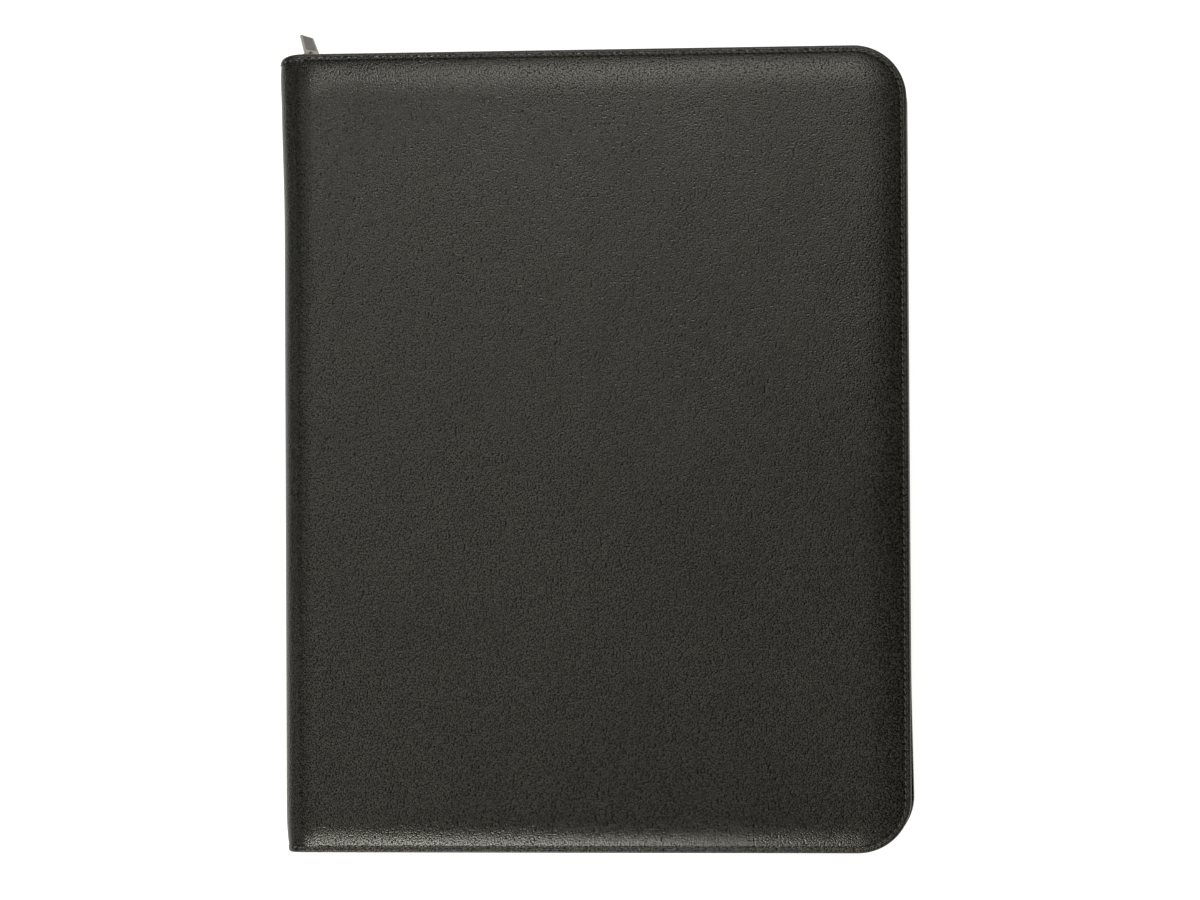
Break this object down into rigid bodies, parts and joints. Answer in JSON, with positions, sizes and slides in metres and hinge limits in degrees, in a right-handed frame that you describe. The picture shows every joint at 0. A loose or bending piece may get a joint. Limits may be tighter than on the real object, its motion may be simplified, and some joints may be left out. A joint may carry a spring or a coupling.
{
  "type": "portfolio case",
  "caption": "Zip-around leather portfolio case, rounded at the fore-edge, with padded covers, a flat spine, a metal zip pull, and a ring mechanism, pockets and a pen loop inside.",
  "frame": {"origin": "centre of the closed case's footprint, on the outer face of the back cover", "axes": "+X from the spine to the fore-edge, +Y from the foot to the head, +Z from the back cover to the front cover"},
  "size_m": [0.268, 0.3554, 0.036],
  "materials": {
    "cover_leather": "fine pebble grain, satin",
    "pocket_leather": "smooth, satin",
    "board": "plain",
    "foam": "soft",
    "lining": "woven, matte",
    "zip_tape": "woven, matte",
    "elastic": "ribbed, matte",
    "zip_teeth": "satin",
    "zip_metal": "dull nickel",
    "ring_steel": "polished"
  },
  "bodies": {
    "back_cover": {"back_leather": "cover_leather", "back_foam": "foam", "back_board": "board", "back_lining": "lining", "back_pocket": "lining", "zip_tape_back": "zip_tape", "zip_teeth_back": "zip_teeth", "zip_head_stop": "zip_metal", "zip_foot_stop": "zip_metal", "ring_plate": "ring_steel", "lever_pin_head": "ring_steel", "lever_pin_foot": "ring_steel", "rivet_head": "ring_steel", "rivet_foot": "ring_steel"},
    "spine": {"spine_leather": "cover_leather", "spine_board": "board", "spine_lining": "lining"},
    "front_cover": {"front_leather": "cover_leather", "front_foam": "foam", "front_board": "board", "front_lining": "lining", "front_pocket": "lining", "card_slot_upper": "pocket_leather", "card_slot_middle": "pocket_leather", "card_slot_lower": "pocket_leather", "pen_loop": "elastic", "zip_tape_front": "zip_tape", "zip_teeth_front": "zip_teeth"},
    "slider": {"zip_slider": "zip_metal"},
    "pull_link": {"pull_link": "zip_metal"},
    "pull_tab": {"pull_tab": "zip_metal"},
    "rings_left": {"ring_blade_left": "ring_steel", "ring_left_1": "ring_steel", "ring_left_2": "ring_steel", "ring_left_3": "ring_steel", "ring_left_4": "ring_steel"},
    "rings_right": {"ring_blade_right": "ring_steel", "ring_right_1": "ring_steel", "ring_right_2": "ring_steel", "ring_right_3": "ring_steel", "ring_right_4": "ring_steel"},
    "lever_head": {"lever_head": "ring_steel"},
    "lever_foot": {"lever_foot": "ring_steel"}
  },
  "joints": [
    {"name": "spine_fold", "type": "hinge", "parent": "back_cover", "child": "spine", "pos_m": [-0.13207, 0, 0.00193], "axis": [0, -1, 0], "range_deg": [0, 90]},
    {"name": "front_fold", "type": "hinge", "parent": "spine", "child": "front_cover", "pos_m": [-0.13207, 0, 0.03407], "axis": [0, -1, 0], "range_deg": [0, 90]},
    {"name": "zip_slide", "type": "slide", "parent": "back_cover", "child": "slider", "axis": [1, 0, 0], "range_m": [0, 0.225]},
    {"name": "pull_swing", "type": "hinge", "parent": "slider", "child": "pull_link", "pos_m": [-0.1244, 0.1732, 0.0176], "axis": [1, 0, 0], "range_deg": [-2, 125]},
    {"name": "tab_swing", "type": "hinge", "parent": "pull_link", "child": "pull_tab", "pos_m": [-0.12413, 0.17379, 0.01281], "axis": [0.3711, 0.7957, 0.4787], "range_deg": [-60, 2]},
    {"name": "rings_left_open", "type": "hinge", "parent": "back_cover", "child": "rings_left", "pos_m": [-0.1214, 0, 0.00725], "axis": [0, -1, 0], "range_deg": [0, 12]},
    {"name": "rings_right_open", "type": "hinge", "parent": "back_cover", "child": "rings_right", "pos_m": [-0.1026, 0, 0.00725], "axis": [0, 1, 0], "range_deg": [0, 12]},
    {"name": "lever_head_turn", "type": "hinge", "parent": "back_cover", "child": "lever_head", "pos_m": [-0.112, 0.1393, 0.00755], "axis": [-1, 0, 0], "range_deg": [0, 30]},
    {"name": "lever_foot_turn", "type": "hinge", "parent": "back_cover", "child": "lever_foot", "pos_m": [-0.112, -0.1393, 0.00755], "axis": [1, 0, 0], "range_deg": [0, 30]}
  ],
  "couplings": [
    {"joint": "rings_right_open", "follows": "rings_left_open", "ratio": 1},
    {"joint": "lever_head_turn", "follows": "rings_left_open", "ratio": 2.08},
    {"joint": "lever_foot_turn", "follows": "rings_left_open", "ratio": 2.08}
  ]
}
